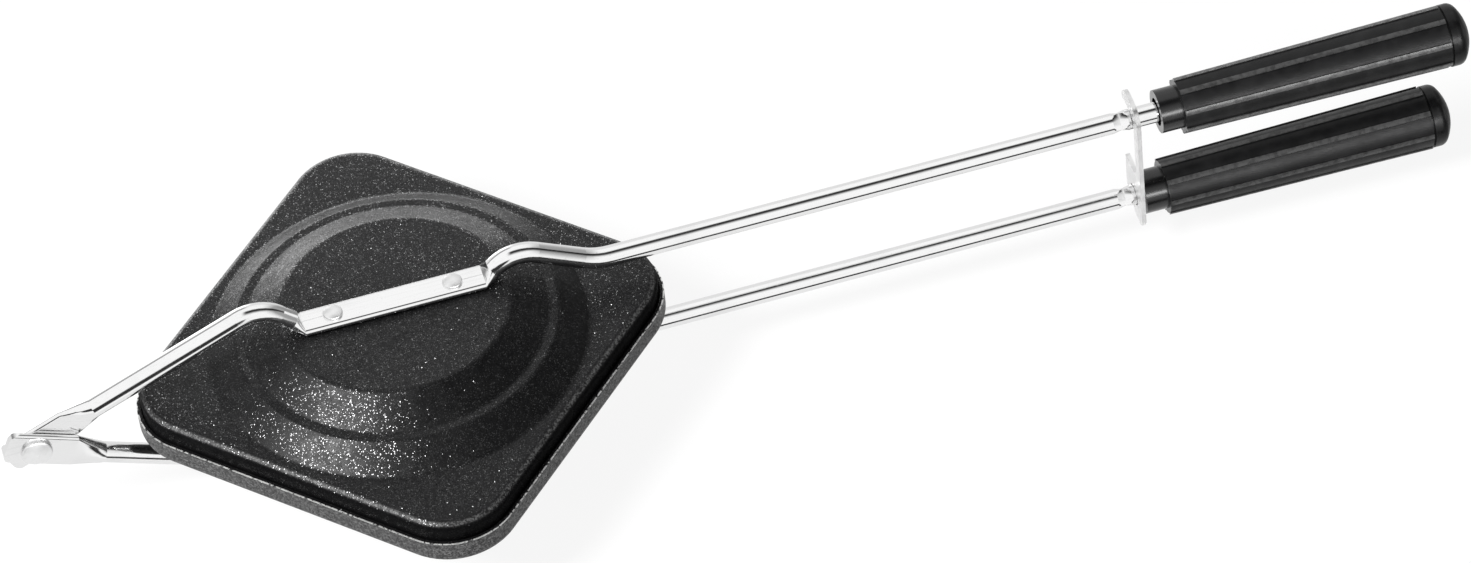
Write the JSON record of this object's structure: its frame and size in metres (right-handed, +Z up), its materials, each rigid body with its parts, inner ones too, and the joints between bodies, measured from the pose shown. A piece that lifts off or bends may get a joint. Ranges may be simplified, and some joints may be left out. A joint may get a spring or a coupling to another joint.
{
  "type": "pie iron",
  "caption": "Hinged cooking iron: square pressed plates with stepped round centres on bent tube arms, ribbed grips and a swinging latch that holds the arms together.",
  "frame": {"origin": "middle of the underside of the closed iron's box", "axes": "+X from the hinge towards the grips, +Z up through the plates towards the upper arm, Y along the hinge pin"},
  "size_m": [0.5064, 0.1786, 0.0766],
  "materials": {
    "plate_coating": "dark non-stick coating with fine sparkle on pressed aluminium",
    "arm_steel": "bright zinc or nickel plating on steel tube",
    "rivet_steel": "bright plated steel",
    "latch_steel": "pale plated sheet, slightly dull",
    "grip_black": "black moulded heat-resistant plastic, semi-gloss",
    "cap_black": "black moulded plastic, semi-gloss",
    "screw_steel": "plain zinc-plated steel"
  },
  "bodies": {
    "lower_half": {"lower_plate": "plate_coating", "lower_arm": "arm_steel", "lower_plate_rivets": "rivet_steel", "hinge_rivet": "rivet_steel", "lower_grip": "grip_black", "lower_grip_cap": "cap_black", "lower_grip_screw": "screw_steel", "lower_tube_insert": "screw_steel"},
    "upper_half": {"upper_plate": "plate_coating", "upper_arm": "arm_steel", "upper_plate_rivets": "rivet_steel", "upper_grip": "grip_black", "upper_grip_cap": "cap_black", "upper_grip_screw": "screw_steel", "upper_tube_insert": "screw_steel"},
    "latch": {"latch": "latch_steel"}
  },
  "joints": [
    {"name": "arm_hinge", "type": "hinge", "parent": "lower_half", "child": "upper_half", "pos_m": [-0.24213, 0, 0.03833], "axis": [0, -1, 0], "range_deg": [0, 180]},
    {"name": "latch_swing", "type": "hinge", "parent": "lower_half", "child": "latch", "pos_m": [0.13562, 0, 0.02003], "axis": [1, 0, 0], "range_deg": [0, 180]}
  ]
}
